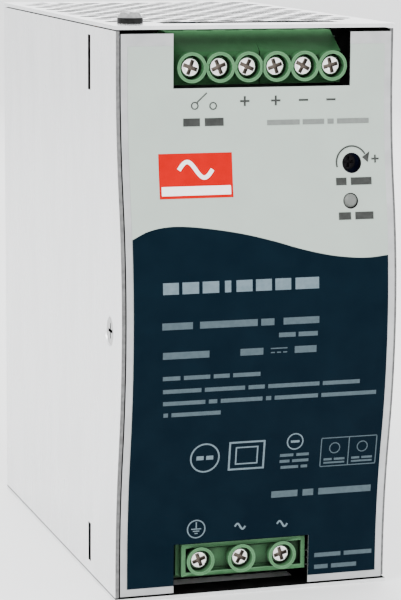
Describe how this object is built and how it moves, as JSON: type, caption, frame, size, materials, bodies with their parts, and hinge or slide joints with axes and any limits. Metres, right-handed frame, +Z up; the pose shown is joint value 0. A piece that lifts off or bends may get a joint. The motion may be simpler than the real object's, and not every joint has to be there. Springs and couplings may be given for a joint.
{
  "type": "din rail power supply",
  "caption": "Perforated sheet-metal power supply with a curved front, screw terminal blocks above and below, a voltage trimmer, an indicator lamp and a sprung rail latch.",
  "frame": {"origin": "middle of the footprint, on the underside of the case", "axes": "+Z up, -Y out of the terminal front, +X to the right seen from the front, +Y towards the rail"},
  "size_m": [0.063, 0.1214, 0.1276],
  "materials": {
    "sheet_metal": "satin bare zinc-plated steel",
    "front_metal": "satin",
    "label": "printed film, pale grey-green above and navy below",
    "terminal_plastic": "satin moulded polyamide, green",
    "zinc_screw": "bright zinc plating",
    "clamp_steel": "zinc-plated",
    "tinned_copper": "tinned",
    "circuit_board": "solder-masked laminate",
    "black_plastic": "moulded black",
    "spring_steel": "bright wire",
    "insulation_film": "clear amber film",
    "trimmer_blue": "moulded blue",
    "trimmer_white": "moulded white",
    "lamp_epoxy": "unlit translucent epoxy",
    "heatsink_aluminium": "extruded, plain",
    "ferrite": "sintered grey ferrite",
    "copper_winding": "enamelled copper",
    "capacitor_sleeve": "shrink sleeve",
    "film_capacitor": "yellow case",
    "ceramic_disc": "dipped ceramic",
    "fuse_ceramic": "glazed ceramic"
  },
  "bodies": {
    "case": {"chassis_shell": "sheet_metal", "top_cover": "sheet_metal", "bottom_cover": "sheet_metal", "front_panel": "front_metal", "front_label": "label", "output_terminal_housing": "terminal_plastic", "input_terminal_housing": "terminal_plastic", "output_terminal_pins": "tinned_copper", "input_terminal_pins": "tinned_copper", "output_board": "circuit_board", "input_board": "circuit_board", "main_board": "circuit_board", "control_board": "circuit_board", "din_bracket": "black_plastic", "latch_spring": "spring_steel", "insulation_sheet": "insulation_film", "board_standoffs": "clamp_steel", "trimmer_body": "trimmer_blue", "dc_ok_lamp": "lamp_epoxy", "fuse": "fuse_ceramic", "inrush_thermistor": "ceramic_disc", "x_capacitor": "film_capacitor", "y_capacitors": "ceramic_disc", "filter_choke_core": "ferrite", "filter_choke_winding": "copper_winding", "pfc_inductor_core": "ferrite", "pfc_inductor_winding": "copper_winding", "primary_heatsink": "heatsink_aluminium", "secondary_heatsink": "heatsink_aluminium", "primary_transistors": "black_plastic", "bridge_rectifier": "black_plastic", "output_rectifiers": "black_plastic", "bulk_capacitor": "capacitor_sleeve", "output_capacitors": "capacitor_sleeve", "transformer_core": "ferrite", "transformer_winding": "copper_winding", "output_inductor": "ferrite", "output_relay": "black_plastic", "pan_head_screws": "zinc_screw", "flat_head_screws": "zinc_screw"},
    "output_screw_1": {"output_screw_1": "zinc_screw"},
    "output_screw_2": {"output_screw_2": "zinc_screw"},
    "output_screw_3": {"output_screw_3": "zinc_screw"},
    "output_screw_4": {"output_screw_4": "zinc_screw"},
    "output_screw_5": {"output_screw_5": "zinc_screw"},
    "output_screw_6": {"output_screw_6": "zinc_screw"},
    "input_screw_1": {"input_screw_1": "zinc_screw"},
    "input_screw_2": {"input_screw_2": "zinc_screw"},
    "input_screw_3": {"input_screw_3": "zinc_screw"},
    "output_clamp_1": {"output_clamp_1": "clamp_steel"},
    "output_clamp_2": {"output_clamp_2": "clamp_steel"},
    "output_clamp_3": {"output_clamp_3": "clamp_steel"},
    "output_clamp_4": {"output_clamp_4": "clamp_steel"},
    "output_clamp_5": {"output_clamp_5": "clamp_steel"},
    "output_clamp_6": {"output_clamp_6": "clamp_steel"},
    "input_clamp_1": {"input_clamp_1": "clamp_steel"},
    "input_clamp_2": {"input_clamp_2": "clamp_steel"},
    "input_clamp_3": {"input_clamp_3": "clamp_steel"},
    "trimmer_rotor": {"trimmer_rotor": "trimmer_white"},
    "din_latch": {"din_latch": "black_plastic"}
  },
  "joints": [
    {"name": "output_screw_1_turn", "type": "hinge", "parent": "case", "child": "output_screw_1", "pos_m": [-0.01457, -0.0536, 0.1162], "axis": [0, 1, 0], "range_deg": [0, 1728]},
    {"name": "output_clamp_1_rise", "type": "slide", "parent": "case", "child": "output_clamp_1", "axis": [0, -1, 0], "range_m": [0, 0.0024]},
    {"name": "output_screw_2_turn", "type": "hinge", "parent": "case", "child": "output_screw_2", "pos_m": [-0.00822, -0.0536, 0.1162], "axis": [0, 1, 0], "range_deg": [0, 1728]},
    {"name": "output_clamp_2_rise", "type": "slide", "parent": "case", "child": "output_clamp_2", "axis": [0, -1, 0], "range_m": [0, 0.0024]},
    {"name": "output_screw_3_turn", "type": "hinge", "parent": "case", "child": "output_screw_3", "pos_m": [-0.00187, -0.0536, 0.1162], "axis": [0, 1, 0], "range_deg": [0, 1728]},
    {"name": "output_clamp_3_rise", "type": "slide", "parent": "case", "child": "output_clamp_3", "axis": [0, -1, 0], "range_m": [0, 0.0024]},
    {"name": "output_screw_4_turn", "type": "hinge", "parent": "case", "child": "output_screw_4", "pos_m": [0.00447, -0.0536, 0.1162], "axis": [0, 1, 0], "range_deg": [0, 1728]},
    {"name": "output_clamp_4_rise", "type": "slide", "parent": "case", "child": "output_clamp_4", "axis": [0, -1, 0], "range_m": [0, 0.0024]},
    {"name": "output_screw_5_turn", "type": "hinge", "parent": "case", "child": "output_screw_5", "pos_m": [0.01082, -0.0536, 0.1162], "axis": [0, 1, 0], "range_deg": [0, 1728]},
    {"name": "output_clamp_5_rise", "type": "slide", "parent": "case", "child": "output_clamp_5", "axis": [0, -1, 0], "range_m": [0, 0.0024]},
    {"name": "output_screw_6_turn", "type": "hinge", "parent": "case", "child": "output_screw_6", "pos_m": [0.01717, -0.0536, 0.1162], "axis": [0, 1, 0], "range_deg": [0, 1728]},
    {"name": "output_clamp_6_rise", "type": "slide", "parent": "case", "child": "output_clamp_6", "axis": [0, -1, 0], "range_m": [0, 0.0024]},
    {"name": "input_screw_1_turn", "type": "hinge", "parent": "case", "child": "input_screw_1", "pos_m": [-0.0119, -0.0536, 0.0078], "axis": [0, 1, 0], "range_deg": [0, 1728]},
    {"name": "input_clamp_1_rise", "type": "slide", "parent": "case", "child": "input_clamp_1", "axis": [0, -1, 0], "range_m": [0, 0.0024]},
    {"name": "input_screw_2_turn", "type": "hinge", "parent": "case", "child": "input_screw_2", "pos_m": [-0.0024, -0.0536, 0.0078], "axis": [0, 1, 0], "range_deg": [0, 1728]},
    {"name": "input_clamp_2_rise", "type": "slide", "parent": "case", "child": "input_clamp_2", "axis": [0, -1, 0], "range_m": [0, 0.0024]},
    {"name": "input_screw_3_turn", "type": "hinge", "parent": "case", "child": "input_screw_3", "pos_m": [0.0071, -0.0536, 0.0078], "axis": [0, 1, 0], "range_deg": [0, 1728]},
    {"name": "input_clamp_3_rise", "type": "slide", "parent": "case", "child": "input_clamp_3", "axis": [0, -1, 0], "range_m": [0, 0.0024]},
    {"name": "trimmer_turn", "type": "hinge", "parent": "case", "child": "trimmer_rotor", "pos_m": [0.0212, -0.0544, 0.0952], "axis": [0, 1, 0], "range_deg": [-130, 130]},
    {"name": "latch_pull", "type": "slide", "parent": "case", "child": "din_latch", "axis": [0, 0, -1], "range_m": [0, 0.005], "stiffness_N_per_m": 800, "springref_m": -0.003, "deforming": ["latch_spring"]}
  ],
  "couplings": [
    {"joint": "output_screw_1_turn", "follows": "output_clamp_1_rise", "rad_per_m": 12566},
    {"joint": "output_screw_2_turn", "follows": "output_clamp_2_rise", "rad_per_m": 12566},
    {"joint": "output_screw_3_turn", "follows": "output_clamp_3_rise", "rad_per_m": 12566},
    {"joint": "output_screw_4_turn", "follows": "output_clamp_4_rise", "rad_per_m": 12566},
    {"joint": "output_screw_5_turn", "follows": "output_clamp_5_rise", "rad_per_m": 12566},
    {"joint": "output_screw_6_turn", "follows": "output_clamp_6_rise", "rad_per_m": 12566},
    {"joint": "input_screw_1_turn", "follows": "input_clamp_1_rise", "rad_per_m": 12566},
    {"joint": "input_screw_2_turn", "follows": "input_clamp_2_rise", "rad_per_m": 12566},
    {"joint": "input_screw_3_turn", "follows": "input_clamp_3_rise", "rad_per_m": 12566}
  ]
}
